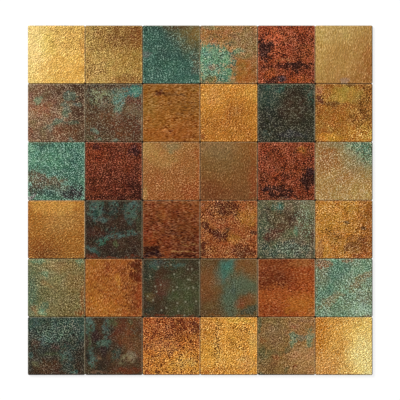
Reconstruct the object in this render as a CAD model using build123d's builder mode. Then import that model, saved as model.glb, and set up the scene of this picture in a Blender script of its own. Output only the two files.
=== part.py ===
from build123d import *
import os

# Self-adhesive mosaic sheet, lying face up: a grid of thin chips bedded on one adhesive backing.
# Millimetres. X runs along a row of chips, Y up a column, and Z out of the face.
# The origin is at the middle of the backing's underside, the face that sticks to the wall.

# The grid, with row 1 at the +Y side and column 1 at the -X side
rows = 6
columns = 6
joint_width = 0.3

# One chip
chip_width = 49.75
chip_length = 50.45
chip_thickness = 3.2
arris_bevel = 0.5  # the sloped edge from the flat of the face down to the sides
face_corner_radius = 0.7  # the flat of the face, at its four corners

# The backing, kept a little inside the outer chips so that no adhesive shows round the sheet
backing_thickness = 0.8
backing_setback = 0.5

# What follows from these sizes
corner_radius = face_corner_radius + arris_bevel
row_pitch = chip_length + joint_width
column_pitch = chip_width + joint_width
sheet_width = columns * column_pitch - joint_width
sheet_length = rows * row_pitch - joint_width

os.makedirs("parts", exist_ok=True)

# The backing: one thin sheet under all the chips
with BuildPart() as adhesive_backing:
    with BuildSketch():
        RectangleRounded(
            sheet_width - 2 * backing_setback,
            sheet_length - 2 * backing_setback,
            corner_radius,
        )
    extrude(amount=backing_thickness)
adhesive_backing.part.label = "adhesive_backing"
export_step(adhesive_backing.part, "parts/adhesive_backing.step")

# The chips: each a tablet with rounded corners, bedded flat on the backing, its face edge bevelled all round
for row in range(rows):
    chip_y = (sheet_length - chip_length) / 2 - row * row_pitch
    for column in range(columns):
        chip_x = (chip_width - sheet_width) / 2 + column * column_pitch
        with BuildPart() as chip:
            with BuildSketch(Plane((chip_x, chip_y, backing_thickness))):
                RectangleRounded(chip_width, chip_length, corner_radius)
            extrude(amount=chip_thickness)
            face = chip.faces().sort_by(Axis.Z)[-1]
            chamfer(face.edges(), length=arris_bevel)
        chip_name = f"chip_r{row + 1}_c{column + 1}"
        chip.part.label = chip_name
        export_step(chip.part, f"parts/{chip_name}.step")
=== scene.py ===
import math
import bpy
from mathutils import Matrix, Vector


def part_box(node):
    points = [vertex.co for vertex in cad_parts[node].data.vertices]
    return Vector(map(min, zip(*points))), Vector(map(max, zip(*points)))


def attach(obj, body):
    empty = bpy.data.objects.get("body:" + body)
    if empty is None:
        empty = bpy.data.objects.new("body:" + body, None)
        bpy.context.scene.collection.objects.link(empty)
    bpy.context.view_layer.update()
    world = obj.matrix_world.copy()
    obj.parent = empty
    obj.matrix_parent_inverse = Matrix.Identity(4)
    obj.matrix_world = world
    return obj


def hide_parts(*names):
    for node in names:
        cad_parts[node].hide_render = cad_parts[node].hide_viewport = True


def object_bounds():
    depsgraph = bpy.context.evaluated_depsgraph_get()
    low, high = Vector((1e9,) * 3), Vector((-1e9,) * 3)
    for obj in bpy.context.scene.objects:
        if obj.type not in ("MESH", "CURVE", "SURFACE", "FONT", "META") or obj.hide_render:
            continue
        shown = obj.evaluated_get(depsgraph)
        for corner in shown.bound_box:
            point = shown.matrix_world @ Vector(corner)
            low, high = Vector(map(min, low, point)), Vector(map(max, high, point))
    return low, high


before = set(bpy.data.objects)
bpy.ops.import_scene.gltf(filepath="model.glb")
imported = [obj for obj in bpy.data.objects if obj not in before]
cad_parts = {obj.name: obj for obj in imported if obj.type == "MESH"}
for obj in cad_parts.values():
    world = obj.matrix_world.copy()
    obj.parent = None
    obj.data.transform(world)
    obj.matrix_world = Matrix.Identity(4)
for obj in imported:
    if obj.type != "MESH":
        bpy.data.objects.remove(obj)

from types import SimpleNamespace

import bpy
from mathutils import Vector

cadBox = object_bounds()
print("frame loaded:", len(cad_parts), "nodes")

rowCount, columnCount = 6, 6
chipNames = [f"r{row}_c{column}" for row in range(1, rowCount + 1) for column in range(1, columnCount + 1)]
millimetre = 0.001

# The chip blank: a pillow-edged tablet with a fine face grid that the grain is pressed into
chipShape = dict(
    faceCells=104,              # grid cells each way on the face
    cornerRadius=1.2 * millimetre,
    edgeRoll=((0.0, 0.0), (0.17, 0.05), (0.33, 0.18), (0.44, 0.33), (0.5, 0.5)),  # out and down, in mm
    flatEdge=0.8 * millimetre,  # the grain fades out over this much of the face's rim
    sharpAngle=50,
    faceSlip=0.001 * millimetre,  # how close to the top a point is still on the face
)


def selectOnly(thing):
    bpy.ops.object.select_all(action="DESELECT")
    thing.select_set(True)
    bpy.context.view_layer.objects.active = thing


def modelChipBlank():
    low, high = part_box("chip_r1_c1")
    width, length, thickness = high - low
    roll = chipShape["edgeRoll"]
    rimRun = roll[-1][0] * millimetre
    bpy.ops.object.select_all(action="DESELECT")
    bpy.ops.mesh.primitive_grid_add(
        x_subdivisions=chipShape["faceCells"],
        y_subdivisions=chipShape["faceCells"],
        size=1,
        location=(0, 0, high.z),
    )
    blank = bpy.context.active_object
    blank.name = "chipBlank"
    blank.scale = (width - 2 * rimRun, length - 2 * rimRun, 1)
    bpy.ops.object.transform_apply(location=True, rotation=True, scale=True)

    # roll the rim out and down, ring by ring, then drop the sides and close the underside
    bpy.ops.object.mode_set(mode="EDIT")
    bpy.ops.mesh.select_mode(type="EDGE")
    bpy.ops.mesh.select_all(action="DESELECT")
    bpy.ops.mesh.select_non_manifold(extend=False)
    for (outA, downA), (outB, downB) in zip(roll, roll[1:]):
        halfA = Vector((width / 2 - rimRun + outA * millimetre, length / 2 - rimRun + outA * millimetre))
        halfB = Vector((width / 2 - rimRun + outB * millimetre, length / 2 - rimRun + outB * millimetre))
        bpy.ops.mesh.extrude_region_move(
            TRANSFORM_OT_translate={"value": (0, 0, (downA - downB) * millimetre)}
        )
        bpy.ops.transform.resize(
            value=(halfB.x / halfA.x, halfB.y / halfA.y, 1), center_override=(0, 0, high.z)
        )
    sideDrop = thickness - roll[-1][1] * millimetre
    bpy.ops.mesh.extrude_region_move(TRANSFORM_OT_translate={"value": (0, 0, -sideDrop)})
    bpy.ops.mesh.edge_face_add()
    bpy.ops.mesh.select_all(action="SELECT")
    bpy.ops.mesh.normals_make_consistent(inside=False)
    bpy.ops.object.mode_set(mode="OBJECT")

    # pull the four square corners in to their round
    radius = chipShape["cornerRadius"]
    for vertex in blank.data.vertices:
        outX = abs(vertex.co.x) - (width / 2 - radius)
        outY = abs(vertex.co.y) - (length / 2 - radius)
        if outX > 0 and outY > 0:
            pull = max(outX, outY) / math.hypot(outX, outY)
            vertex.co.x = math.copysign(width / 2 - radius + outX * pull, vertex.co.x)
            vertex.co.y = math.copysign(length / 2 - radius + outY * pull, vertex.co.y)

    # weights that hold the grain off the rim
    pressed = blank.vertex_groups.new(name="pressed")
    for vertex in blank.data.vertices:
        inside = min(width / 2 - rimRun - abs(vertex.co.x), length / 2 - rimRun - abs(vertex.co.y))
        if inside > 0 and vertex.co.z > high.z - chipShape["faceSlip"]:
            pressed.add([vertex.index], min(1, inside / chipShape["flatEdge"]), "REPLACE")
    selectOnly(blank)
    bpy.ops.object.shade_smooth_by_angle(angle=math.radians(chipShape["sharpAngle"]))
    return blank


# The pressed grain, shared by all chips: close worm-like ridges and pits
grainPattern = dict(
    pebble=(0.7 * millimetre, 3.6, 1.0, "SOFT_NOISE"),  # close pits and knobs: size, contrast, level, kind
    worm=(0.8 * millimetre, 2.8, 1.85, "HARD_NOISE"),   # winding furrows
    depth=0.22,                                         # in mm
    draw=(25, 1.25),                                    # turn, and how far the grain is drawn out along it
)


def makeGrainTexture(name, size, contrast, level, kind):
    texture = bpy.data.textures.new(name, "CLOUDS")
    texture.noise_basis = "IMPROVED_PERLIN"
    texture.noise_type = kind
    texture.noise_scale = size
    texture.noise_depth = 1
    texture.contrast = contrast
    texture.intensity = level
    texture.use_color_ramp = True       # black to white, so no ridge rises past the face
    ramp = texture.color_ramp
    ramp.interpolation = "LINEAR"
    ramp.elements[0].color = (0, 0, 0, 1)
    ramp.elements[1].color = (1, 1, 1, 1)
    return texture


# Pigments of the patina, as they look in plain light (red, green, blue out of 255)
pigments = dict(
    cream=(250, 230, 170), straw=(234, 200, 116), paleGold=(226, 174, 84), gold=(206, 146, 54),
    greenGold=(206, 182, 76), amber=(186, 116, 42), honey=(164, 102, 38), ochre=(140, 90, 38),
    bronze=(156, 118, 54), khaki=(182, 146, 84), tan=(158, 110, 60), paleTan=(210, 160, 100),
    rosyTan=(174, 124, 96), copper=(150, 82, 38), orangeRust=(168, 80, 30), brightRust=(146, 62, 28),
    coral=(220, 112, 68), rust=(113, 50, 24), oxblood=(76, 26, 12), redBlack=(38, 14, 8),
    burntUmber=(86, 46, 14), plum=(48, 28, 32), plumBrown=(96, 54, 40), charcoal=(34, 31, 26),
    nearBlack=(17, 17, 14), walnut=(64, 42, 28), umber=(88, 58, 34), greyBrown=(116, 94, 72),
    rosyBrown=(140, 104, 80), olive=(112, 94, 54), moss=(78, 86, 56), slateTeal=(52, 74, 66),
    deepTeal=(30, 54, 48), tealBlack=(22, 38, 34), teal=(64, 108, 94), seaTeal=(58, 130, 124),
    skyTeal=(70, 140, 150), verdigris=(104, 152, 126), mint=(122, 178, 146), paleVerdigris=(176, 208, 186),
    sage=(128, 128, 94), ash=(150, 146, 122), lilac=(148, 138, 146), slate=(64, 62, 68),
    champagne=(232, 212, 172), stoneGrey=(128, 122, 112), dustyTeal=(96, 120, 106), greyTeal=(74, 98, 90),
    salmon=(206, 122, 92), khakiGrey=(140, 130, 98), warmBrown=(118, 74, 40), oliveBlack=(56, 54, 36),
    honeyGold=(216, 150, 62),
)


def paint(name):
    channels = [value / 255 for value in pigments[name]]
    linear = [c / 12.92 if c <= 0.04045 else ((c + 0.055) / 1.055) ** 2.4 for c in channels]
    return (*linear, 1.0)


# What each chip's finish is made of. Places run from -1 to 1, right and up from the chip's middle.
# ground: two pigments, blended along lean
# pits and ridges: what gathers in the grain's hollows and rubs bare on its tops, how strongly, and from where
# level and swing: how bright the paint is, and how far the grain lightens and darkens it
# uneven: how far the paint drifts; tips and specks: share of bright tips, and of specks in the grain
# depth, grain, draw, emboss, brushed, clump: the pressed grain, where it differs from the usual
# flecks: pale dots, how far apart in mm and how strong; paler rims, part wear and part painted highlight:
# left, right, bottom, top
# blooms: pigment, place, half sizes, strength, then how it is broken up if it isn't solid, and its turn
chipLooks = {
    # the straw side of the ground at the left and the cream bloom there are a painted highlight, the metal's
    # sheen
    "r1_c1": dict(
        ground=("straw", "paleGold"), lean=(0.8, -0.1), pits=("ochre", 0.3, 0.36),
        ridges=("cream", 0.24, 0.68), metal=0.5, level=0.91, emboss=0.9, swing=0.35, uneven=0.25, tips=0.3,
        blooms=[
            ("cream", -0.8, 0.3, 0.5, 1.0, 0.3, "soft"), ("greenGold", -0.35, 0.35, 0.3, 0.4, 0.4),
            ("gold", 0.3, -0.5, 0.8, 0.5, 0.3), ("amber", 0.95, 0.3, 0.12, 0.6, 0.4),
            ("umber", 0.45, 0.6, 0.6, 0.45, 0.5, "pitted", -10)]),
    "r1_c2": dict(
        ground=("khaki", "bronze"), lean=(0.7, 0.3), pits=("burntUmber", 0.6, 0.4),
        ridges=("straw", 0.4, 0.66), metal=0.4, level=0.92, emboss=0.7, swing=1.05, uneven=0.5, blooms=[
            ("walnut", -0.45, 0.55, 0.6, 0.5, 0.5, "pitted"),
            ("warmBrown", 0.4, 0.65, 0.9, 0.55, 0.65, "soft"),
            ("rust", 0.85, 0.65, 0.4, 0.45, 0.45, "soft"), ("bronze", 0.7, -0.1, 0.5, 0.4, 0.5, "soft"),
            ("khaki", -0.5, -0.5, 0.5, 0.5, 0.6, "soft"), ("rust", 0.5, -0.92, 0.6, 0.2, 0.5, "soft"),
            ("umber", -0.6, -0.5, 0.4, 0.2, 0.6, "pitted")]),
    "r1_c3": dict(
        ground=("slateTeal", "teal"), lean=(0.0, -0.3), pits=("tealBlack", 0.8, 0.46),
        ridges=("paleVerdigris", 0.4, 0.7), metal=0.1, level=0.93, swing=1.25, uneven=0.5, tips=0.7,
        blooms=[
            ("olive", 0.9, 0.9, 1.7, 0.8, 0.8, "soft", 135),
            ("olive", 0.95, 0.95, 1.5, 0.6, 0.7, "smooth", 135), ("bronze", 0.95, 0.7, 0.3, 0.2, 0.3),
            ("umber", 0.2, 0.95, 0.5, 0.12, 0.5), ("moss", 0.95, 0.2, 0.2, 0.3, 0.4),
            ("lilac", -0.88, 0.0, 0.14, 0.16, 0.3), ("rosyBrown", 0.9, -0.2, 0.2, 0.3, 0.35, "speckled"),
            ("greyBrown", 0.9, -0.5, 0.2, 0.3, 0.35)]),
    "r1_c4": dict(
        ground=("tan", "tan"), lean=(0.3, 0.2), pits=("walnut", 0.65, 0.44),
        ridges=("champagne", 0.32, 0.68), metal=0.2, level=0.95, swing=1.3, blooms=[
            ("sage", 0.6, 0.4, 0.6, 0.6, 0.35), ("copper", -0.5, 0.7, 0.5, 0.25, 0.4, "speckled"),
            ("verdigris", -0.95, -0.2, 0.25, 0.55, 0.8), ("copper", 0.1, 0.7, 0.4, 0.2, 0.4, "speckled"),
            ("sage", -0.7, 0.95, 0.4, 0.1, 0.6), ("verdigris", -0.55, -0.1, 0.75, 0.5, 0.9, "solid", -15),
            ("mint", -0.85, 0.0, 0.2, 0.3, 0.4), ("mint", -0.15, -0.05, 0.25, 0.25, 0.25),
            ("verdigris", -0.2, -0.75, 0.35, 0.3, 0.9), ("teal", -0.25, -0.8, 0.25, 0.2, 0.5),
            ("verdigris", -0.75, -0.55, 0.35, 0.45, 0.85), ("teal", -0.45, -0.25, 0.7, 0.7, 0.65, "pitted"),
            ("paleVerdigris", -0.5, -0.3, 0.6, 0.6, 0.3, "dusted"),
            ("rosyTan", -0.55, -0.42, 0.14, 0.08, 0.45), ("olive", -0.65, -0.85, 0.22, 0.14, 0.7),
            ("verdigris", 0.4, 0.1, 0.16, 0.12, 0.5), ("honey", 0.5, -0.35, 0.26, 0.18, 0.75, "smooth"),
            ("honey", 0.55, -0.8, 0.35, 0.3, 0.7, "smooth"), ("copper", 0.85, -0.6, 0.25, 0.4, 0.4)]),
    "r1_c5": dict(
        ground=("brightRust", "rust"), lean=(0.2, -0.3), pits=("redBlack", 0.95, 0.57),
        ridges=("salmon", 0.5, 0.7), metal=0.2, level=1.25, swing=2.5, clump=1.2, tips=0.6, blooms=[
            ("coral", -0.4, 0.6, 0.3, 0.3, 0.35, "soft"), ("redBlack", 0.3, 0.5, 1.0, 0.8, 0.4, "pitted"),
            ("oxblood", 0.5, 0.55, 0.3, 0.2, 0.6), ("copper", 0.75, 0.1, 0.3, 0.4, 0.4),
            ("plum", -0.7, 0.3, 0.25, 0.4, 0.5), ("redBlack", -0.8, 0.15, 0.28, 0.44, 0.95),
            ("paleTan", -0.1, -0.18, 0.45, 0.08, 0.5, "dusted"),
            ("redBlack", 0.25, -0.42, 0.62, 0.2, 0.95, "solid", 5),
            ("oxblood", -0.4, -0.45, 0.5, 0.12, 0.6), ("orangeRust", -0.6, -0.65, 0.3, 0.14, 0.6),
            ("orangeRust", 0.5, -0.85, 0.45, 0.14, 0.55), ("redBlack", -0.5, -0.92, 0.5, 0.14, 0.85),
            ("slate", -0.2, -0.92, 0.2, 0.1, 0.5)]),
    "r1_c6": dict(
        ground=("khaki", "tan"), lean=(0.6, -0.6), pits=("bronze", 0.4, 0.36), ridges=("straw", 0.15, 0.68),
        metal=0.4, depth=0.14, brushed=True, draw=(88, 3.0), clump=0.4, emboss=0.45, level=1.05, swing=1.1,
        uneven=0.3, blooms=[
            ("straw", -0.4, 0.75, 0.9, 0.45, 0.15, "soft"),
            ("khakiGrey", -0.3, 0.75, 0.9, 0.4, 0.2, "soft"), ("copper", 0.85, -0.25, 0.22, 0.6, 0.4),
            ("lilac", 0.05, -0.88, 0.14, 0.08, 0.3)]),
    "r2_c1": dict(
        ground=("rosyBrown", "walnut"), lean=(0.8, 0.3), pits=("walnut", 0.8, 0.45),
        ridges=("champagne", 0.34, 0.66), metal=0.15, level=1.0, swing=1.8, tips=0.6, blooms=[
            ("greyBrown", -0.6, -0.6, 0.5, 0.45, 0.5), ("copper", -0.5, 0.1, 0.4, 0.3, 0.3),
            ("walnut", 0.7, 0.1, 0.35, 0.45, 0.7), ("walnut", 0.7, 0.75, 0.4, 0.3, 0.65),
            ("verdigris", -0.65, 0.42, 0.14, 0.14, 0.5), ("dustyTeal", 0.5, 0.6, 0.22, 0.16, 0.6),
            ("dustyTeal", 0.3, 0.05, 0.14, 0.4, 0.6, "solid", -10),
            ("dustyTeal", 0.65, 0.3, 0.3, 0.08, 0.5), ("teal", 0.05, -0.32, 0.2, 0.12, 0.6),
            ("teal", 0.55, -0.3, 0.25, 0.08, 0.6), ("dustyTeal", -0.2, -0.5, 0.2, 0.14, 0.5, "solid", 30),
            ("rust", 0.3, -0.62, 0.45, 0.2, 0.5), ("umber", 0.65, -0.6, 0.5, 0.4, 0.5, "soft"),
            ("dustyTeal", 0.55, -0.95, 0.16, 0.08, 0.6), ("rust", -0.95, -0.7, 0.06, 0.15, 0.5)]),
    "r2_c2": dict(
        ground=("umber", "walnut"), lean=(0.1, 0.2), pits=("charcoal", 0.75, 0.45),
        ridges=("ash", 0.6, 0.66), metal=0.15, level=1.28, swing=2.3, tips=0.65, blooms=[
            ("sage", -0.55, 0.6, 0.55, 0.35, 0.6, "speckled"),
            ("verdigris", -0.5, 0.6, 0.6, 0.4, 0.45, "dusted"),
            ("slateTeal", -0.5, 0.6, 0.6, 0.4, 0.5, "pitted"),
            ("slateTeal", -0.1, 0.7, 0.3, 0.25, 0.4, "speckled"),
            ("ash", -0.3, 0.4, 0.3, 0.2, 0.4, "speckled"),
            ("dustyTeal", 0.1, 0.45, 0.25, 0.3, 0.4, "flaked"), ("dustyTeal", 0.22, 0.5, 0.24, 0.45, 0.5),
            ("skyTeal", 0.25, 0.55, 0.2, 0.4, 0.3, "flaked"), ("seaTeal", 0.7, 0.75, 0.36, 0.22, 0.6),
            ("mint", 0.75, 0.75, 0.3, 0.2, 0.25, "dusted"), ("dustyTeal", 0.12, 0.1, 0.14, 0.2, 0.6),
            ("plumBrown", 0.72, 0.38, 0.3, 0.14, 0.6), ("greyBrown", 0.7, 0.05, 0.3, 0.2, 0.6),
            ("rosyBrown", -0.1, -0.1, 0.5, 0.2, 0.4, "speckled"), ("rust", 0.4, -0.5, 0.6, 0.4, 0.2),
            ("dustyTeal", -0.65, -0.65, 0.12, 0.12, 0.6), ("moss", -0.85, -0.85, 0.16, 0.1, 0.5),
            ("dustyTeal", 0.1, -0.92, 0.1, 0.06, 0.6), ("dustyTeal", -0.55, -0.95, 0.14, 0.06, 0.5),
            ("rosyBrown", 0.95, -0.3, 0.1, 0.2, 0.4), ("charcoal", -0.5, 0.95, 0.5, 0.06, 0.5)]),
    "r2_c3": dict(
        ground=("ochre", "honey"), lean=(0.1, -0.6), pits=("burntUmber", 0.45, 0.4),
        ridges=("paleTan", 0.28, 0.7), metal=0.35, brushed=True, draw=(0, 5.0), level=0.93, emboss=0.8,
        swing=1.9, uneven=0.3, blooms=[
            ("bronze", -0.75, 0.2, 0.3, 0.4, 0.45), ("umber", 0.5, 0.35, 0.6, 0.3, 0.4, "streaked", -5),
            ("umber", 0.6, 0.0, 0.5, 0.14, 0.4, "streaked"), ("oxblood", -0.4, 0.72, 0.16, 0.1, 0.85),
            ("umber", 0.1, 0.62, 0.4, 0.08, 0.5, "solid", -8),
            ("orangeRust", -0.2, -0.75, 0.9, 0.25, 0.3, "soft"),
            ("copper", 0.6, -0.6, 0.7, 0.5, 0.4, "soft"), ("rust", 0.3, -0.9, 0.7, 0.12, 0.45, "streaked"),
            ("bronze", 0.8, 0.85, 0.2, 0.1, 0.4), ("rust", -0.05, -0.6, 0.08, 0.06, 0.6)]),
    "r2_c4": dict(
        ground=("honeyGold", "amber"), lean=(0.0, -0.4), pits=("burntUmber", 0.45, 0.36),
        ridges=("straw", 0.2, 0.68), metal=0.5, level=0.88, swing=1.05, uneven=0.4, blooms=[
            ("paleGold", 0.8, 0.7, 0.3, 0.3, 0.4), ("paleTan", -0.6, 0.6, 0.4, 0.4, 0.25),
            ("copper", 0.2, -0.1, 0.5, 0.6, 0.4, "soft"), ("rust", 0.15, -0.1, 0.22, 0.5, 0.35, "speckled"),
            ("copper", -0.7, -0.5, 0.6, 0.5, 0.35, "soft"), ("copper", 0.5, -0.8, 0.5, 0.3, 0.25, "soft"),
            ("brightRust", -0.95, -0.85, 0.1, 0.1, 0.5)]),
    "r2_c5": dict(
        ground=("charcoal", "oliveBlack"), lean=(0.3, 0.1), pits=("nearBlack", 0.7, 0.42),
        ridges=("ash", 0.55, 0.67), metal=0.1, level=1.0, swing=1.25, tips=0.75, blooms=[
            ("slateTeal", -0.6, 0.6, 0.5, 0.6, 0.6, "soft"),
            ("teal", -0.3, 0.85, 0.5, 0.14, 0.55, "flaked"), ("teal", 0.8, 0.6, 0.16, 0.4, 0.4, "flaked"),
            ("walnut", 0.2, 0.2, 0.5, 0.6, 0.6, "soft"),
            ("greyBrown", 0.2, 0.3, 0.3, 0.06, 0.4, "speckled"),
            ("lilac", 0.2, -0.76, 0.5, 0.1, 0.5, "dusted"), ("slate", 0.2, -0.76, 0.5, 0.1, 0.5, "soft"),
            ("slate", -0.65, -0.4, 0.3, 0.5, 0.4, "speckled"),
            ("slateTeal", -0.7, -0.7, 0.3, 0.2, 0.5, "speckled"),
            ("tealBlack", 0.0, -0.97, 1.0, 0.06, 0.5)]),
    "r2_c6": dict(
        ground=("ochre", "honey"), lean=(0.1, -0.2), pits=("burntUmber", 0.65, 0.42),
        ridges=("straw", 0.4, 0.66), metal=0.4, level=1.08, swing=1.45, blooms=[
            ("bronze", 0.1, 0.62, 0.6, 0.34, 0.6, "smooth"),
            ("greenGold", 0.1, 0.62, 0.6, 0.3, 0.2, "soft"), ("rosyTan", -0.9, 0.8, 0.2, 0.2, 0.4),
            ("plumBrown", -0.8, 0.42, 0.16, 0.18, 0.8), ("umber", -0.35, 0.32, 0.4, 0.1, 0.6, "solid", -8),
            ("walnut", 0.1, 0.97, 0.3, 0.06, 0.6), ("walnut", 0.75, 0.3, 0.2, 0.7, 0.85, "pitted"),
            ("umber", 0.6, -0.1, 0.4, 0.3, 0.5, "pitted"), ("honey", -0.3, -0.3, 0.5, 0.3, 0.4),
            ("gold", -0.5, -0.85, 0.5, 0.14, 0.6), ("gold", 0.5, -0.75, 0.7, 0.35, 0.4, "soft"),
            ("straw", 0.6, -0.7, 0.5, 0.32, 1.0, "dusted"), ("greenGold", 0.95, -0.8, 0.08, 0.2, 0.4)]),
    "r3_c1": dict(
        ground=("verdigris", "teal"), lean=(0.6, 0.0), pits=("deepTeal", 0.8, 0.46),
        ridges=("paleVerdigris", 0.65, 0.66), metal=0.1, level=0.82, swing=1.7, tips=0.6, blooms=[
            ("teal", 0.6, 0.2, 0.5, 0.8, 0.35), ("deepTeal", 0.5, -0.4, 0.6, 0.5, 0.3, "soft"),
            ("slateTeal", 0.0, -0.75, 1.2, 0.4, 0.5),
            ("greyBrown", -0.4, -0.34, 0.9, 0.3, 0.9, "solid", -14),
            ("rosyBrown", -0.7, -0.3, 0.4, 0.2, 0.5, "dusted"), ("umber", -0.7, -0.6, 0.34, 0.26, 0.6),
            ("slateTeal", -0.2, -0.7, 0.5, 0.2, 0.6), ("ash", 0.1, -0.6, 0.6, 0.25, 0.35, "speckled", -10),
            ("slate", 0.6, -0.75, 0.45, 0.25, 0.7), ("plum", 0.65, -0.78, 0.42, 0.24, 0.85, "solid", 5),
            ("charcoal", 0.95, -0.6, 0.06, 0.16, 0.7), ("lilac", -0.9, -0.9, 0.24, 0.1, 0.9, "solid", 20),
            ("moss", -0.6, 0.97, 0.5, 0.06, 0.6), ("slateTeal", -0.95, 0.0, 0.06, 0.3, 0.5)]),
    "r3_c2": dict(
        ground=("rust", "oxblood"), lean=(0.3, -0.6), pits=("redBlack", 0.95, 0.57),
        ridges=("salmon", 0.52, 0.7), metal=0.2, level=1.05, swing=2.3, tips=0.65, blooms=[
            ("brightRust", -0.6, 0.5, 0.5, 0.5, 0.4), ("brightRust", 0.3, 0.3, 0.4, 0.4, 0.3),
            ("plum", -0.62, 0.85, 0.14, 0.14, 0.7), ("plum", 0.7, 0.7, 0.2, 0.22, 0.8),
            ("oxblood", 0.1, -0.5, 0.7, 0.4, 0.3), ("brightRust", 0.9, -0.2, 0.1, 0.14, 0.5),
            ("redBlack", 0.8, -0.7, 0.3, 0.3, 0.5), ("redBlack", 0.0, -0.96, 1.0, 0.08, 0.6)]),
    "r3_c3": dict(
        ground=("tan", "copper"), lean=(0.2, -0.7), pits=("umber", 0.35, 0.36),
        ridges=("paleTan", 0.3, 0.7), metal=0.3, level=0.94, emboss=1.0, swing=1.1, uneven=0.3, tips=0.75,
        blooms=[
            ("khaki", -0.8, 0.75, 0.4, 0.3, 0.5), ("khaki", -0.3, 0.4, 0.5, 0.3, 0.3),
            ("sage", 0.05, 0.85, 0.35, 0.2, 0.5, "soft"), ("sage", 0.05, 0.6, 0.08, 0.08, 0.5, "soft"),
            ("khaki", -0.95, -0.8, 0.1, 0.2, 0.5), ("copper", -0.6, -0.3, 0.4, 0.4, 0.3),
            ("orangeRust", 0.95, 0.0, 0.1, 0.7, 0.35), ("brightRust", 0.7, -0.75, 0.35, 0.25, 0.35)]),
    "r3_c4": dict(
        ground=("ochre", "warmBrown"), lean=(0.2, -0.9), pits=("walnut", 0.3, 0.34),
        ridges=("paleTan", 0.24, 0.7), metal=0.3, depth=0.14, draw=(86, 2.0), clump=0.4, level=0.95,
        emboss=0.8, swing=0.65, uneven=0.3, tips=0.75, blooms=[
            ("khakiGrey", -0.4, 0.8, 0.8, 0.4, 0.3, "soft"), ("olive", -0.4, 0.4, 0.8, 0.6, 0.4, "soft"),
            ("rust", -0.6, -0.7, 0.7, 0.4, 0.45, "soft"), ("copper", 0.85, 0.6, 0.2, 0.4, 0.4),
            ("brightRust", 0.85, -0.2, 0.25, 0.4, 0.45, "soft"),
            ("brightRust", 0.85, -0.7, 0.2, 0.3, 0.4)]),
    "r3_c5": dict(
        ground=("rust", "brightRust"), lean=(0.0, 0.5), pits=("redBlack", 0.95, 0.56),
        ridges=("salmon", 0.5, 0.7), metal=0.2, level=1.03, swing=2.4, clump=1.2, tips=0.6, blooms=[
            ("redBlack", -0.3, 0.2, 0.9, 0.8, 0.4, "pitted"), ("copper", 0.6, 0.7, 0.3, 0.25, 0.5),
            ("amber", 0.6, 0.75, 0.14, 0.2, 0.6), ("redBlack", 0.0, -0.25, 0.2, 0.12, 0.5),
            ("redBlack", 0.76, -0.25, 0.3, 0.42, 0.95), ("plum", 0.85, 0.0, 0.2, 0.14, 0.5),
            ("redBlack", -0.35, -0.65, 0.62, 0.2, 0.9, "solid", -15), ("plum", -0.7, -0.6, 0.16, 0.1, 0.6),
            ("redBlack", -0.1, -0.85, 0.6, 0.12, 0.85, "solid", -5),
            ("salmon", 0.2, -0.5, 0.45, 0.06, 0.6, "dusted", -10),
            ("rosyBrown", 0.0, -0.97, 0.5, 0.05, 0.5)]),
    "r3_c6": dict(
        ground=("tan", "khaki"), lean=(0.2, -0.7), pits=("ochre", 0.6, 0.42),
        ridges=("champagne", 0.48, 0.64), metal=0.3, level=0.95, swing=1.05, tips=0.7, uneven=0.6, blooms=[
            ("sage", 0.5, 0.5, 1.0, 0.6, 0.6, "soft", -38), ("sage", -0.4, 0.9, 0.5, 0.12, 0.5),
            ("verdigris", 0.8, 0.8, 1.0, 0.5, 0.9, "soft", -38),
            ("teal", 0.7, 0.85, 0.6, 0.3, 0.6, "solid", -35),
            ("deepTeal", 0.75, 0.8, 0.7, 0.36, 0.7, "pitted", -38),
            ("mint", 0.8, 0.8, 0.6, 0.3, 0.6, "dusted", -36), ("copper", -0.5, 0.35, 0.35, 0.35, 0.4),
            ("copper", -0.2, -0.2, 0.4, 0.3, 0.25, "speckled"), ("khaki", 0.6, -0.6, 0.5, 0.5, 0.45),
            ("khaki", -0.85, -0.8, 0.2, 0.3, 0.4)]),
    "r4_c1": dict(
        ground=("honey", "ochre"), lean=(0.0, -0.8), pits=("burntUmber", 0.4, 0.38),
        ridges=("straw", 0.24, 0.66), metal=0.45, grain="worm", specks=0.8, draw=(20, 2.0), clump=0.3,
        level=1.0, emboss=0.9, swing=0.5, uneven=0.3, wearAndHighlight=(0.1, 0.95, 0.0, 0.6), blooms=[
            ("paleGold", -0.1, 0.8, 0.9, 0.3, 0.35), ("khaki", 0.2, 0.3, 0.7, 0.4, 0.25),
            ("rust", -0.5, -0.75, 0.6, 0.4, 0.5, "soft"), ("umber", -0.3, -0.85, 0.4, 0.15, 0.3),
            ("honey", 0.7, -0.5, 0.3, 0.6, 0.3)]),
    "r4_c2": dict(
        ground=("walnut", "charcoal"), lean=(0.0, 0.2), pits=("nearBlack", 0.7, 0.45),
        ridges=("ash", 0.24, 0.7), metal=0.1, level=1.08, swing=1.5, tips=0.65, blooms=[
            ("greyTeal", -0.65, 0.65, 0.3, 0.36, 0.95, "crusted"),
            ("greyTeal", -0.45, 0.35, 0.34, 0.1, 0.75, "crusted"), ("deepTeal", -0.62, 0.6, 0.1, 0.14, 0.8),
            ("greyTeal", -0.02, 0.85, 0.2, 0.16, 0.85, "crusted"),
            ("greyTeal", 0.62, 0.6, 0.28, 0.4, 0.7, "crusted"),
            ("greyTeal", 0.75, 0.85, 0.25, 0.14, 0.85, "crusted"),
            ("slateTeal", 0.1, 0.6, 0.5, 0.16, 0.6, "flaked"),
            ("slateTeal", -0.1, -0.02, 0.22, 0.2, 0.7, "flaked"), ("walnut", 0.4, -0.5, 0.5, 0.3, 0.5),
            ("greyTeal", 0.25, -0.22, 0.7, 0.1, 0.85, "crusted", 12),
            ("teal", -0.42, -0.42, 0.24, 0.14, 0.7, "crusted", 25), ("moss", 0.1, -0.52, 0.1, 0.1, 0.7),
            ("rust", -0.6, -0.1, 0.3, 0.2, 0.2), ("greyTeal", -0.8, -0.68, 0.2, 0.1, 0.7, "solid", -20),
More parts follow.
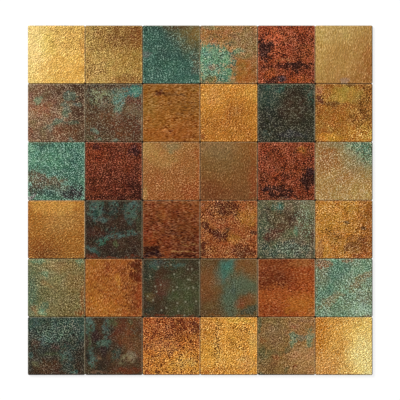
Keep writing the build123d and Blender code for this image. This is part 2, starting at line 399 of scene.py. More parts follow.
            ("slateTeal", -0.6, -0.85, 0.1, 0.12, 0.6), ("rust", -0.8, -0.92, 0.2, 0.08, 0.6),
            ("rust", 0.0, -0.98, 0.9, 0.04, 0.6), ("moss", 0.9, 0.2, 0.1, 0.5, 0.3)]),
    "r4_c3": dict(
        ground=("copper", "rust"), lean=(-0.1, -0.5), pits=("redBlack", 0.7, 0.42),
        ridges=("tan", 0.4, 0.66), metal=0.25, brushed=True, draw=(0, 5.0), level=0.87, emboss=0.9,
        swing=2.6, blooms=[
            ("rust", -0.75, 0.6, 0.4, 0.4, 0.4), ("walnut", 0.2, 0.3, 0.8, 0.3, 0.3, "streaked"),
            ("brightRust", -0.75, -0.3, 0.3, 0.25, 0.5), ("plum", 0.3, -0.15, 0.6, 0.1, 0.5, "streaked"),
            ("redBlack", -0.75, -0.75, 0.4, 0.2, 0.85), ("plum", -0.6, -0.9, 0.5, 0.1, 0.6),
            ("oxblood", 0.5, -0.7, 0.7, 0.4, 0.5, "streaked"),
            ("oxblood", 0.6, -0.5, 0.6, 0.5, 0.3, "soft"), ("paleTan", 0.4, -0.8, 0.5, 0.025, 0.5),
            ("tan", 0.6, -0.55, 0.35, 0.03, 0.5), ("redBlack", 0.4, -0.95, 0.6, 0.05, 0.6)]),
    "r4_c4": dict(
        ground=("copper", "copper"), lean=(0.5, 0.3), pits=("oxblood", 0.8, 0.47),
        ridges=("paleTan", 0.4, 0.66), metal=0.3, level=0.97, swing=2.2, blooms=[
            ("gold", 0.65, 0.45, 0.4, 0.35, 0.35), ("gold", 0.2, -0.35, 0.3, 0.2, 0.3),
            ("brightRust", -0.5, -0.45, 0.4, 0.1, 0.4), ("rosyTan", -0.95, 0.85, 0.1, 0.1, 0.4),
            ("redBlack", -0.5, 0.6, 0.5, 0.4, 0.5, "pitted"), ("oxblood", -0.1, 0.72, 0.5, 0.28, 0.75),
            ("redBlack", -0.05, 0.7, 0.5, 0.3, 0.95, "pitted"), ("oxblood", -0.85, 0.15, 0.2, 0.2, 0.85),
            ("redBlack", -0.85, 0.15, 0.25, 0.25, 0.95, "pitted"),
            ("oxblood", -0.38, -0.2, 0.28, 0.2, 0.85), ("redBlack", -0.35, -0.2, 0.3, 0.25, 0.95, "pitted"),
            ("oxblood", -0.92, -0.75, 0.14, 0.3, 0.85), ("oxblood", 0.45, -0.75, 0.4, 0.24, 0.7),
            ("rosyBrown", 0.5, -0.8, 0.3, 0.18, 0.4, "dusted"), ("walnut", 0.85, -0.1, 0.1, 0.08, 0.8),
            ("walnut", -0.05, -0.02, 0.08, 0.06, 0.7)]),
    "r4_c5": dict(
        ground=("moss", "greyBrown"), lean=(0.4, 0.0), pits=("charcoal", 0.7, 0.43),
        ridges=("champagne", 0.32, 0.7), metal=0.1, level=0.93, swing=1.45, tips=0.75, blooms=[
            ("slateTeal", -0.8, 0.0, 0.3, 0.9, 0.4), ("umber", -0.3, 0.3, 0.45, 0.4, 0.5),
            ("walnut", 0.1, 0.45, 0.3, 0.25, 0.6), ("teal", -0.3, 0.75, 0.2, 0.14, 0.6),
            ("seaTeal", -0.3, 0.72, 0.08, 0.08, 0.5), ("ash", 0.6, 0.75, 0.2, 0.3, 0.45),
            ("sage", 0.75, 0.75, 0.3, 0.35, 0.6, "soft"), ("plumBrown", -0.5, -0.2, 0.3, 0.2, 0.8),
            ("plumBrown", -0.15, 0.05, 0.25, 0.2, 0.4), ("verdigris", 0.6, 0.3, 0.45, 0.9, 0.7, "dusted"),
            ("verdigris", 0.3, -0.1, 0.14, 0.14, 0.5), ("slateTeal", 0.0, -0.75, 0.9, 0.3, 0.45),
            ("olive", -0.1, -0.38, 0.25, 0.07, 0.7), ("slateTeal", 0.1, -0.75, 1.2, 0.4, 0.3, "soft"),
            ("paleVerdigris", 0.1, -0.68, 0.9, 0.3, 0.4, "dusted"),
            ("plumBrown", 0.92, -0.25, 0.08, 0.2, 0.5)]),
    "r4_c6": dict(
        ground=("honeyGold", "amber"), lean=(0.5, -0.3), pits=("burntUmber", 0.75, 0.45),
        ridges=("champagne", 0.34, 0.68), metal=0.4, level=0.88, swing=1.55, uneven=0.7, blooms=[
            ("gold", -0.3, 0.5, 0.7, 0.5, 0.4, "soft"), ("copper", 0.75, 0.2, 0.3, 0.9, 0.4),
            ("rosyTan", -0.9, -0.7, 0.14, 0.3, 0.4), ("orangeRust", 0.7, -0.9, 0.4, 0.12, 0.5),
            ("umber", -0.35, -0.22, 0.3, 0.25, 0.85, "pitted"),
            ("oxblood", -0.35, -0.22, 0.22, 0.16, 0.5, "flaked"), ("walnut", 0.05, 0.25, 0.1, 0.1, 0.7),
            ("walnut", 0.65, 0.05, 0.1, 0.07, 0.8), ("plumBrown", 0.4, -0.55, 0.4, 0.3, 0.4),
            ("salmon", 0.7, -0.75, 0.5, 0.3, 0.3, "dusted"), ("oxblood", 0.25, -0.6, 0.2, 0.16, 0.45),
            ("rust", 0.85, -0.5, 0.2, 0.3, 0.4), ("walnut", -0.05, 0.02, 0.3, 0.05, 0.5, "flaked", 30)]),
    "r5_c1": dict(
        ground=("sage", "olive"), lean=(0.7, -0.2), pits=("umber", 0.35, 0.36), ridges=("straw", 0.25, 0.7),
        metal=0.25, grain="worm", depth=0.14, specks=0.85, draw=(50, 1.8), clump=0.2, level=1.12,
        emboss=2.0, swing=1.45, uneven=0.4, tips=0.6, blooms=[
            ("verdigris", -0.6, 0.9, 0.35, 0.1, 0.55), ("verdigris", -0.45, 0.45, 0.16, 0.14, 0.45),
            ("tan", 0.1, 0.75, 0.6, 0.25, 0.35, "soft", -10), ("verdigris", 0.85, 0.88, 0.14, 0.1, 0.5),
            ("tan", -0.3, 0.1, 0.2, 0.1, 0.35), ("tan", 0.6, 0.2, 0.4, 0.3, 0.3, "soft"),
            ("teal", -0.9, -0.2, 0.25, 0.8, 0.65, "soft"), ("moss", -0.75, 0.3, 0.3, 0.6, 0.35, "soft"),
            ("moss", -0.55, -0.3, 0.35, 0.3, 0.45, "solid", 40),
            ("copper", -0.75, -0.75, 0.16, 0.16, 0.35, "solid", 45), ("teal", -0.45, -0.65, 0.14, 0.2, 0.5),
            ("mint", -0.5, -0.85, 0.16, 0.1, 0.4), ("copper", 0.92, -0.3, 0.1, 0.6, 0.45),
            ("copper", 0.85, -0.85, 0.2, 0.14, 0.5, "solid", 30)]),
    "r5_c2": dict(
        ground=("honey", "copper"), lean=(0.8, 0.2), pits=("rust", 0.65, 0.44),
        ridges=("paleTan", 0.32, 0.68), metal=0.35, brushed=True, draw=(85, 3.0), level=1.06, swing=2.0,
        uneven=0.6, blooms=[
            ("rust", -0.2, 0.65, 0.14, 0.25, 0.4), ("rust", 0.3, 0.5, 0.25, 0.3, 0.35),
            ("amber", -0.3, -0.6, 0.5, 0.3, 0.35), ("gold", 0.15, 0.2, 0.1, 0.2, 0.3),
            ("rust", 0.8, -0.1, 0.35, 0.9, 0.45), ("redBlack", 0.75, 0.1, 0.35, 1.0, 0.5, "pitted"),
            ("oxblood", 0.82, 0.6, 0.25, 0.45, 0.75), ("redBlack", 0.75, 0.8, 0.25, 0.3, 0.5, "speckled"),
            ("brightRust", 0.9, -0.3, 0.1, 0.5, 0.4), ("rust", -0.1, -0.35, 0.7, 0.03, 0.5, "solid", -33)]),
    "r5_c3": dict(
        ground=("walnut", "oliveBlack"), lean=(0.3, 0.1), pits=("charcoal", 0.4, 0.38),
        ridges=("ash", 0.24, 0.72), metal=0.1, depth=0.16, level=1.08, swing=1.4, tips=0.65,
        flecks=("ash", 9.5, 0.65), blooms=[
            ("slateTeal", -0.2, 0.85, 0.7, 0.16, 0.6, "flaked"), ("greyTeal", -0.55, 0.75, 0.2, 0.14, 0.5),
            ("greyTeal", 0.3, 0.8, 0.2, 0.1, 0.4), ("deepTeal", -0.8, 0.5, 0.2, 0.3, 0.4),
            ("walnut", -0.35, 0.5, 0.2, 0.2, 0.7), ("plumBrown", -0.3, 0.0, 0.32, 0.35, 0.45),
            ("walnut", 0.6, 0.4, 0.3, 0.3, 0.4), ("olive", -0.75, -0.3, 0.2, 0.14, 0.35),
            ("moss", 0.5, -0.3, 0.7, 0.8, 0.5, "soft"), ("deepTeal", -0.8, -0.8, 0.2, 0.14, 0.4),
            ("rust", 0.0, -0.98, 0.9, 0.04, 0.5)]),
    "r5_c4": dict(
        ground=("umber", "olive"), lean=(0.4, 0.0), pits=("walnut", 0.35, 0.4), ridges=("ash", 0.2, 0.74),
        metal=0.15, depth=0.14, clump=0.4, level=1.0, swing=1.3, uneven=0.4, blooms=[
            ("copper", 0.7, 0.7, 0.5, 0.4, 0.35, "soft"), ("moss", 0.4, 0.5, 0.2, 0.2, 0.3),
            ("olive", -0.7, -0.65, 0.3, 0.14, 0.3), ("teal", -0.15, 0.6, 0.6, 0.28, 0.85, "soft", 55),
            ("seaTeal", 0.05, 0.85, 0.3, 0.12, 0.35, "soft", 35),
            ("seaTeal", -0.25, 0.35, 0.14, 0.2, 0.2, "soft"),
            ("teal", 0.05, -0.4, 0.36, 0.65, 0.55, "soft"),
            ("teal", 0.55, 0.08, 0.5, 0.36, 0.5, "soft", -20),
            ("slate", 0.18, -0.05, 0.12, 0.16, 0.35, "soft"),
            ("brightRust", 0.55, -0.48, 0.4, 0.18, 0.35, "soft", 25),
            ("copper", -0.75, 0.1, 0.4, 0.6, 0.35, "soft"), ("brightRust", 0.4, -0.62, 0.14, 0.1, 0.25),
            ("slateTeal", 0.75, -0.75, 0.3, 0.14, 0.6, "solid", 25),
            ("ochre", 0.0, -0.98, 0.8, 0.04, 0.5)]),
    "r5_c5": dict(
        ground=("copper", "orangeRust"), lean=(0.3, -0.9), pits=("oxblood", 0.65, 0.43),
        ridges=("paleTan", 0.28, 0.68), metal=0.3, brushed=True, draw=(0, 3.0), level=1.08, swing=2.0,
        uneven=0.4, wearAndHighlight=(0.4, 0.7, 0.0, 0.2), blooms=[
            ("rust", -0.1, 0.6, 1.8, 0.6, 0.65), ("oxblood", -0.4, 0.3, 0.9, 0.3, 0.4, "soft"),
            ("rust", -0.5, -0.85, 0.9, 0.3, 0.45, "soft"), ("oxblood", -0.2, 0.0, 0.7, 0.08, 0.5, "pitted"),
            ("orangeRust", 0.6, 0.5, 0.6, 0.6, 0.5, "soft"), ("tan", 0.6, 0.85, 0.5, 0.16, 0.45, "soft"),
            ("brightRust", 0.2, 0.05, 0.16, 0.06, 0.5), ("amber", 0.5, -0.55, 0.6, 0.4, 0.5),
            ("tan", 0.9, -0.85, 0.16, 0.16, 0.4)]),
    "r5_c6": dict(
        ground=("verdigris", "sage"), lean=(0.4, -0.2), pits=("slateTeal", 0.8, 0.47),
        ridges=("paleVerdigris", 0.56, 0.64), metal=0.1, draw=(40, 1.6), level=0.98, swing=2.3, uneven=0.6,
        tips=0.55, blooms=[
            ("teal", -0.3, 0.45, 0.6, 0.36, 0.6, "soft", 30), ("teal", -0.7, -0.1, 0.3, 0.3, 0.4),
            ("mint", 0.5, 0.65, 0.4, 0.2, 0.35, "solid", 30),
            ("tan", -0.4, -0.35, 0.6, 0.16, 0.45, "solid", 38),
            ("tan", 0.6, 0.25, 0.55, 0.18, 0.45, "solid", 38), ("ash", 0.7, -0.3, 0.35, 0.3, 0.35),
            ("paleVerdigris", 0.6, -0.75, 0.45, 0.25, 0.5),
            ("paleVerdigris", 0.5, -0.2, 1.0, 1.1, 0.5, "dusted"),
            ("tan", -0.8, 0.5, 0.3, 0.6, 0.35, "soft"),
            ("copper", -0.75, 0.85, 0.3, 0.16, 0.7, "solid", -20), ("copper", 0.1, 0.95, 0.3, 0.06, 0.6),
            ("olive", -0.95, 0.2, 0.06, 0.7, 0.5), ("orangeRust", 0.85, -0.97, 0.3, 0.04, 0.4)]),
    "r6_c1": dict(
        ground=("slateTeal", "walnut"), lean=(-0.2, -1.0), pits=("nearBlack", 0.75, 0.46),
        ridges=("ash", 0.32, 0.7), metal=0.1, level=0.91, swing=2.5, tips=0.7, blooms=[
            ("umber", -0.65, 0.15, 0.2, 0.2, 0.6), ("umber", -0.35, -0.7, 0.5, 0.22, 0.65),
            ("plumBrown", 0.1, 0.0, 0.3, 0.14, 0.4), ("greyTeal", -0.75, 0.8, 0.22, 0.22, 0.85, "crusted"),
            ("greyTeal", -0.05, 0.75, 0.2, 0.3, 0.9, "crusted"),
            ("greyTeal", -0.3, 0.35, 0.4, 0.3, 0.9, "crusted", 20),
            ("nearBlack", 0.0, 0.3, 1.0, 0.6, 0.7, "pitted"),
            ("slateTeal", 0.5, 0.55, 0.55, 0.45, 0.7, "flaked"),
            ("greyTeal", 0.6, 0.6, 0.5, 0.4, 0.5, "flaked"), ("greyTeal", -0.88, -0.3, 0.14, 0.14, 0.7),
            ("slateTeal", 0.3, 0.05, 0.3, 0.2, 0.6, "flaked"), ("moss", -0.2, -0.28, 0.35, 0.08, 0.5),
            ("greyTeal", 0.35, -0.3, 0.3, 0.3, 0.8, "crusted"), ("slateTeal", 0.4, -0.7, 0.25, 0.25, 0.6),
            ("seaTeal", 0.6, -0.9, 0.14, 0.08, 0.4), ("sage", -0.7, -0.6, 0.14, 0.1, 0.45),
            ("ash", 0.45, 0.7, 0.6, 0.4, 0.45, "dusted"),
            ("paleVerdigris", -0.1, 0.5, 0.9, 0.5, 0.25, "dusted"),
            ("nearBlack", 0.7, -0.5, 0.4, 0.6, 0.6, "speckled")]),
    "r6_c2": dict(
        ground=("charcoal", "umber"), lean=(0.8, -0.2), pits=("charcoal", 0.6, 0.44),
        ridges=("ash", 0.24, 0.72), metal=0.15, level=1.18, swing=1.8, tips=0.65, blooms=[
            ("rust", 0.3, 0.5, 0.4, 0.45, 0.35), ("warmBrown", 0.6, 0.2, 0.35, 0.5, 0.3),
            ("plum", -0.6, 0.35, 0.18, 0.18, 0.6), ("plum", -0.4, -0.15, 0.16, 0.2, 0.5),
            ("greyTeal", -0.85, 0.72, 0.2, 0.32, 0.75, "crusted"),
            ("dustyTeal", -0.75, 0.85, 0.1, 0.1, 0.4), ("moss", -0.85, 0.2, 0.06, 0.3, 0.6),
            ("greyTeal", -0.25, 0.6, 0.12, 0.5, 0.6, "crusted"),
            ("moss", 0.0, 0.8, 0.2, 0.2, 0.6, "crusted"),
            ("greyTeal", -0.35, 0.1, 0.28, 0.14, 0.65, "crusted"),
            ("greyTeal", -0.8, -0.45, 0.18, 0.34, 0.8, "crusted"),
            ("nearBlack", -0.92, -0.42, 0.06, 0.1, 0.8), ("rosyBrown", -0.55, -0.42, 0.1, 0.08, 0.4),
            ("slateTeal", 0.05, -0.3, 0.18, 0.24, 0.6, "crusted"),
            ("khakiGrey", 0.45, -0.5, 0.32, 0.12, 0.5, "crusted", 20),
            ("ash", 0.6, -0.35, 0.1, 0.22, 0.3, "crusted"), ("rust", 0.55, -0.85, 0.5, 0.12, 0.5),
            ("rosyBrown", -0.6, -0.95, 0.3, 0.05, 0.4), ("moss", 0.55, 0.85, 0.1, 0.1, 0.5)]),
    "r6_c3": dict(
        ground=("orangeRust", "amber"), lean=(0.3, -0.9), pits=("oxblood", 0.95, 0.52),
        ridges=("straw", 0.3, 0.66), metal=0.4, level=1.23, swing=1.8, clump=1.2, uneven=0.6, tips=0.45,
        blooms=[
            ("rust", 0.2, 0.65, 0.9, 0.4, 0.5, "soft"), ("oxblood", 0.0, 0.5, 1.1, 0.7, 0.8, "pitted"),
            ("copper", -0.1, 0.5, 1.0, 0.5, 0.35, "soft"), ("rust", -0.6, 0.2, 0.4, 0.3, 0.5, "flaked"),
            ("oxblood", 0.2, 0.75, 0.6, 0.2, 0.7, "flaked"), ("oxblood", 0.85, 0.7, 0.14, 0.25, 0.7),
            ("rosyTan", -0.3, -0.05, 0.6, 0.3, 0.3), ("gold", 0.5, -0.6, 0.9, 0.5, 0.5, "soft"),
            ("amber", -0.6, -0.4, 0.6, 0.5, 0.35, "soft"), ("straw", 0.5, -0.6, 0.4, 0.2, 0.25),
            ("brightRust", -0.9, -0.85, 0.12, 0.12, 0.7), ("oxblood", -0.5, -0.9, 0.12, 0.06, 0.9)]),
    "r6_c4": dict(
        ground=("honeyGold", "honeyGold"), lean=(0.6, 0.2), pits=("burntUmber", 0.65, 0.4),
        ridges=("straw", 0.44, 0.64), metal=0.5, level=1.1, emboss=0.9, swing=1.55, uneven=0.4, tips=0.45,
        wearAndHighlight=(0.1, 0.5, 0.0, 0.2), blooms=[
            ("greenGold", 0.3, 0.9, 0.5, 0.1, 0.3), ("gold", -0.85, -0.3, 0.4, 0.8, 0.6, "soft"),
            ("paleGold", -0.2, -0.5, 0.6, 0.5, 0.3, "soft"), ("copper", -0.8, 0.6, 0.4, 0.5, 0.4, "soft"),
            ("straw", 0.85, 0.2, 0.16, 0.5, 0.4), ("burntUmber", -0.42, 0.15, 0.12, 0.8, 0.9, "pitted"),
            ("burntUmber", -0.42, 0.2, 0.06, 0.6, 0.4, "speckled"),
            ("umber", -0.28, 0.75, 0.2, 0.12, 0.8, "pitted", -25),
            ("burntUmber", 0.45, 0.3, 0.45, 0.5, 0.6, "pitted"), ("amber", 0.0, -0.85, 0.9, 0.14, 0.45),
            ("paleTan", 0.6, -0.6, 0.4, 0.3, 0.35), ("orangeRust", -0.95, -0.92, 0.3, 0.06, 0.4)]),
    "r6_c5": dict(
        ground=("olive", "tan"), lean=(0.7, 0.0), pits=("walnut", 0.5, 0.42),
        ridges=("paleTan", 0.36, 0.68), metal=0.2, draw=(-60, 1.4), level=1.02, swing=1.8, uneven=0.5,
        tips=0.6, blooms=[
            ("rosyBrown", -0.4, 0.4, 0.4, 0.4, 0.35), ("rosyTan", 0.5, -0.3, 0.5, 0.25, 0.3),
            ("plumBrown", -0.6, -0.65, 0.3, 0.2, 0.3), ("paleTan", 0.65, -0.5, 0.5, 0.5, 0.35, "soft"),
            ("rosyTan", 0.3, 0.72, 0.3, 0.12, 0.4), ("rosyBrown", 0.7, 0.9, 0.4, 0.08, 0.4),
            ("moss", -0.92, 0.7, 0.1, 0.3, 0.7), ("moss", -0.85, -0.25, 0.2, 0.25, 0.5),
            ("moss", -0.9, -0.9, 0.1, 0.1, 0.6), ("copper", -0.85, 0.2, 0.16, 0.1, 0.4),
            ("verdigris", 0.22, 0.22, 0.14, 0.32, 0.55), ("verdigris", 0.84, 0.25, 0.15, 0.32, 0.55),
            ("dustyTeal", 0.5, 0.25, 0.28, 0.12, 0.5), ("moss", 0.05, -0.15, 0.14, 0.14, 0.5),
            ("moss", -0.4, -0.2, 0.35, 0.1, 0.4), ("moss", 0.0, -0.78, 0.1, 0.16, 0.5),
            ("brightRust", 0.25, 0.68, 0.1, 0.07, 0.45), ("brightRust", -0.35, -0.35, 0.12, 0.1, 0.35),
            ("brightRust", 0.25, -0.7, 0.08, 0.08, 0.5), ("slateTeal", -0.85, -0.97, 0.12, 0.05, 0.6)]),
    # the straw side of the ground at the right and the straw and cream blooms at the right and lower right
    # are a painted highlight, the metal's sheen in a bright band
    "r6_c6": dict(
        ground=("amber", "straw"), lean=(1.0, -0.2), pits=("burntUmber", 0.4, 0.42),
        ridges=("cream", 0.36, 0.64), metal=0.55, depth=0.3, specks=0.6, grain="worm", draw=(38, 1.8),
        clump=0.2, level=1.25, emboss=1.7, swing=1.2, uneven=0.2, tips=0.45, blooms=[
            ("gold", -0.6, 0.1, 0.7, 0.9, 0.3, "soft"), ("paleTan", -0.5, -0.7, 0.7, 0.5, 0.35, "soft"),
            ("paleGold", 0.2, 0.5, 0.5, 0.4, 0.3, "soft"), ("straw", 0.6, 0.0, 0.5, 0.9, 0.5),
            ("cream", 0.7, -0.3, 0.5, 0.7, 0.5, "soft"), ("cream", 0.9, -0.9, 0.2, 0.1, 0.5)]),
}

# How the layers of every finish are laid
patinaLay = dict(
    seedStep=1.7,                                             # apart from chip to chip
    drawPower=(0.65, -0.35),                                  # drawn grain gets longer, and finer across
    cloudTone=(0.3, 0.7), cloudShare=0.35,                    # slow drift between the two grounds
    steadyCloud=0.3,                                          # how much of it an even chip keeps
    wander=0.28,                                              # how far blooms stray from a plain oval
    streakDraw=(0, 5),                                        # level streaks in a broken bloom
    raggedGrain=0.8, raggedPatch=2.6, gentleRim=0.5,          # how much grain and patches break up their rims
    softRim=(1.5, 0.3), firmRim=(1.2, 0.7),                   # where a bloom starts and where it is full
    smoothCalm=0.75,                                          # how far a smooth bloom quiets the grain
    pitSize=0.95 * millimetre, tipSize=1.05 * millimetre,     # fine dark pits and bright tips
    speckEdges=(0.05, 0.7), speckTone=(0.15, 0.85),
    tips=0.5, speckShare=0.65, glintGain=1.3,                 # share of tips, and of both in the grain
    strokeTone=(0.36, 0.64), strokeShare=0.55,                # brush strokes among the specks
    emboss=0.85,                                              # lit wrinkles, in mm deep
    patchSwing=1.1, evenShift=0.55, darkest=0.03,             # how far patches and grain shift the colour
    warmth=(1.0, 0.98, 0.88),                                 # the tint of strongly grained chips
    fadeTone=(0.35, 0.65), fade=0.45,                         # the grain fades and gathers
    clump=0.9, pitRun=0.25, ridgeRun=0.2,                     # how pits and ridges gather and fill
    mottle=0.3,                                               # rosy and greenish unevenness
    fleckEdges=(0.12, 0.05),
    rimRun=0.9 * millimetre, wearAndHighlight=(0.1, 0.45, 0.0, 0.22),     # paler rims, part wear and part painted highlight: left, right, bottom, top
    paintedShadeRun=1.4 * millimetre,                                # painted shade along the sheet's outer right and bottom edges
    bodyBelow=(0.45 * millimetre, 0.7 * millimetre),          # the bare body shows from here down
    roughness=(0.62, 0.42), specular=0.06,                    # roughness from pits to tips
)
# The noises of a finish: size in mm, detail, roughness, and a seed of its own so that no two line up
patinaNoise = dict(
    wander=(11, 4, 0.6, 0), wrinkle=(1.15, 1, 0.5, 3), patch=(5, 5, 0.7, 7), cloud=(14, 2, 0.5, 9),
    mottle=(6, 2, 0.5, 13), streaked=(2.2, 3, 0.6, 17), fade=(9, 2, 0.5, 19), flaked=(2.4, 3, 0.6, 23),
    crusted=(2.4, 3, 0.6, 29), lull=(5, 1, 0.5, 31), stroke=(0.75, 2, 0.6, 37),
)
# Where a broken bloom starts and is full, read from patches, grain or flakes
breakupEdges = dict(
    speckled=(0.46, 0.56), pitted=(0.55, 0.3), dusted=(0.6, 0.8),
    flaked=(0.47, 0.56), crusted=(0.4, 0.5), streaked=(0.44, 0.58),
)
eyeGamma = 2.2
eyeWeights = (0.3, 0.59, 0.11)    # how bright red, green and blue look


def addNode(tree, kind, **settings):
    node = tree.nodes.new(kind)
    for name, value in settings.items():
        setattr(node, name, value)
    return node


def setInputs(node, **values):
    for name, value in values.items():
        node.inputs[name.replace("_", " ")].default_value = value
    return node


def feed(tree, socket, value):
    # an output is linked, and anything else is set on the socket
    if isinstance(value, bpy.types.NodeSocket):
        tree.links.new(value, socket)
    else:
        socket.default_value = value


def mathNode(tree, operation, first, second, clamp=False):
    node = addNode(tree, "ShaderNodeMath", operation=operation, use_clamp=clamp)
    feed(tree, node.inputs[0], first)
    feed(tree, node.inputs[1], second)
    return node.outputs[0]


def scaled(tree, value, gain):
    return mathNode(tree, "MULTIPLY", value, gain)


def offMiddle(tree, value, gain):
    return scaled(tree, mathNode(tree, "SUBTRACT", value, 0.5), gain)


def sharedOut(tree, first, second, share):
    return mathNode(tree, "ADD", scaled(tree, first, 1 - share), scaled(tree, second, share))


def vectorNode(tree, operation, *values):
    node = addNode(tree, "ShaderNodeVectorMath", operation=operation)
    for socket, value in zip(node.inputs, values):
        feed(tree, socket, value)
    return node.outputs["Value" if operation in ("LENGTH", "DOT_PRODUCT") else "Vector"]


def splitNode(tree, vector):
    node = addNode(tree, "ShaderNodeSeparateXYZ")
    tree.links.new(vector, node.inputs[0])
    return node.outputs


def rangeNode(tree, value, fromLow, fromHigh, toLow=0.0, toHigh=1.0, smooth=True):
    node = addNode(tree, "ShaderNodeMapRange", interpolation_type="SMOOTHSTEP" if smooth else "LINEAR")
    setInputs(node, From_Min=fromLow, From_Max=fromHigh, To_Min=toLow, To_Max=toHigh)
    tree.links.new(value, node.inputs["Value"])
    return node.outputs["Result"]


def mixColour(tree, share, first, second):
    node = addNode(tree, "ShaderNodeMix", data_type="RGBA")
    feed(tree, node.inputs[0], share)
    for socket, value in zip([s for s in node.inputs if s.type == "RGBA"], (first, second)):
        feed(tree, socket, value)
    return [s for s in node.outputs if s.type == "RGBA"][0]


def gammaNode(tree, colour, power):
    node = setInputs(addNode(tree, "ShaderNodeGamma"), Gamma=power)
    tree.links.new(colour, node.inputs["Color"])
    return node.outputs["Color"]


def noiseNode(tree, vector, size, detail, roughness, seed=0):
    node = addNode(tree, "ShaderNodeTexNoise", noise_dimensions="4D")
    setInputs(node, Scale=1 / size, Detail=detail, Roughness=roughness, W=seed)
    tree.links.new(vector, node.inputs["Vector"])
    return node.outputs


def noiseOf(tree, name, place, seed):
    size, detail, roughness, ownSeed = patinaNoise[name]
    return noiseNode(tree, place, size * millimetre, detail, roughness, seed + ownSeed)


def cellNode(tree, vector, size):
    node = setInputs(addNode(tree, "ShaderNodeTexVoronoi", voronoi_dimensions="2D"), Scale=1 / size)
    tree.links.new(vector, node.inputs["Vector"])
    return node.outputs["Distance"]


def bumpNode(tree, height, strength, distance):
    node = setInputs(addNode(tree, "ShaderNodeBump"), Strength=strength, Distance=distance)
    tree.links.new(height, node.inputs["Height"])
    return node.outputs[0]


def mapped(tree, place, **settings):
    node = setInputs(addNode(tree, "ShaderNodeMapping", vector_type="TEXTURE"), **settings)
    tree.links.new(place, node.inputs["Vector"])
    return node.outputs[0]


def drawnOut(tree, place, turn, stretch):
    # the grain runs along the turn
    along, across = (stretch ** power for power in patinaLay["drawPower"])
    return mapped(tree, place, Rotation=(0, 0, math.radians(turn)), Scale=(along, across, 1))


def makeGrain(tree, look, seed, place, height, faceTop):
    # ridge tops from the pressed height, broken up by fine specks and gathered in patches
    depth = look.get("depth", grainPattern["depth"]) * millimetre
    ridge = rangeNode(tree, height, faceTop - depth, faceTop, smooth=False)
    drawn = drawnOut(tree, place, *look.get("draw", grainPattern["draw"]))
    near, far = patinaLay["speckEdges"]
    darkPits = rangeNode(tree, cellNode(tree, drawn, patinaLay["pitSize"]), far, near, smooth=False)
    brightTips = rangeNode(tree, cellNode(tree, drawn, patinaLay["tipSize"]), near, far, smooth=False)
    specks = sharedOut(tree, darkPits, brightTips, look.get("tips", patinaLay["tips"]))
    specks = rangeNode(tree, specks, *patinaLay["speckTone"], smooth=False)
    if look.get("brushed"):
        strokes = noiseOf(tree, "stroke", drawn, seed)["Fac"]
        strokes = rangeNode(tree, strokes, *patinaLay["strokeTone"], smooth=False)
        specks = sharedOut(tree, specks, strokes, patinaLay["strokeShare"])
    patch = noiseOf(tree, "patch", place, seed)["Fac"]
    speckShare = look.get("specks", patinaLay["speckShare"])
    pressed = sharedOut(tree, ridge, specks, speckShare)
    clump = offMiddle(tree, patch, look.get("clump", patinaLay["clump"]))
    return SimpleNamespace(
        drawn=drawn, specks=specks, patch=patch,
        tone=mathNode(tree, "ADD", pressed, clump),
        glint=sharedOut(tree, ridge, specks, min(1, speckShare * patinaLay["glintGain"])),
    )


def layGround(tree, look, seed, place, onChip):
    # two pigments along the lean, drifting in slow clouds
    leanX, leanY = look["lean"]
    along = vectorNode(tree, "DOT_PRODUCT", onChip, (leanX / 2, leanY / 2, 0))
    cloud = noiseOf(tree, "cloud", place, seed)["Fac"]
    cloud = rangeNode(tree, cloud, *patinaLay["cloudTone"], -1, 1, smooth=False)
    steady = patinaLay["steadyCloud"]
    drift = scaled(tree, cloud, patinaLay["cloudShare"] * (steady + (1 - steady) * look.get("uneven", 1.0)))
    blend = mathNode(tree, "ADD", mathNode(tree, "ADD", along, 0.5), drift, clamp=True)
    return mixColour(tree, blend, *map(paint, look["ground"]))


def makeBreakup(tree, kind, seed, place, grain):
    # how a bloom's inside is broken up
    if kind == "speckled":
        source = grain.patch
    elif kind in ("pitted", "dusted"):
        source = grain.tone
    else:
        if kind == "streaked":
            place = drawnOut(tree, place, *patinaLay["streakDraw"])
        source = noiseOf(tree, kind, place, seed)["Fac"]
    return rangeNode(tree, source, *breakupEdges[kind])


def readBloom(pigment, x, y, halfX, halfY, strength, kind="solid", turn=0):
    form = dict(Location=(x, y, 0), Rotation=(0, 0, math.radians(turn)), Scale=(halfX, halfY, 1))
    return paint(pigment), form, strength, kind


def layBlooms(tree, look, seed, place, strayed, grain, colour):
    # patches of oxide with ragged or gentle rims
    raggedGrain = offMiddle(tree, grain.tone, patinaLay["raggedGrain"])
    ragged = mathNode(tree, "ADD", raggedGrain, offMiddle(tree, grain.patch, patinaLay["raggedPatch"]))
    lull = noiseOf(tree, "lull", place, seed)["Fac"]
    gentle = offMiddle(tree, lull, patinaLay["gentleRim"])
    breakups = {}
    calm = 1.0
    for bloom in look["blooms"]:
        pigment, form, strength, kind = readBloom(*bloom)
        away = vectorNode(tree, "LENGTH", mapped(tree, strayed, **form))
        rim = mathNode(tree, "ADD", away, gentle if kind in ("soft", "smooth") else ragged)
        edges = patinaLay["softRim" if kind == "soft" else "firmRim"]
        share = rangeNode(tree, rim, *edges, 0, strength)
        if kind == "smooth":
            quiet = scaled(tree, share, patinaLay["smoothCalm"])
            calm = scaled(tree, mathNode(tree, "SUBTRACT", 1.0, quiet), calm)
        elif kind in breakupEdges:
            if kind not in breakups:
                breakups[kind] = makeBreakup(tree, kind, seed, place, grain)
            share = scaled(tree, share, breakups[kind])
        colour = mixColour(tree, share, colour, pigment)
    return colour, calm


def brightness(name):
    return sum(weight * channel for weight, channel in zip(eyeWeights, pigments[name])) / 255


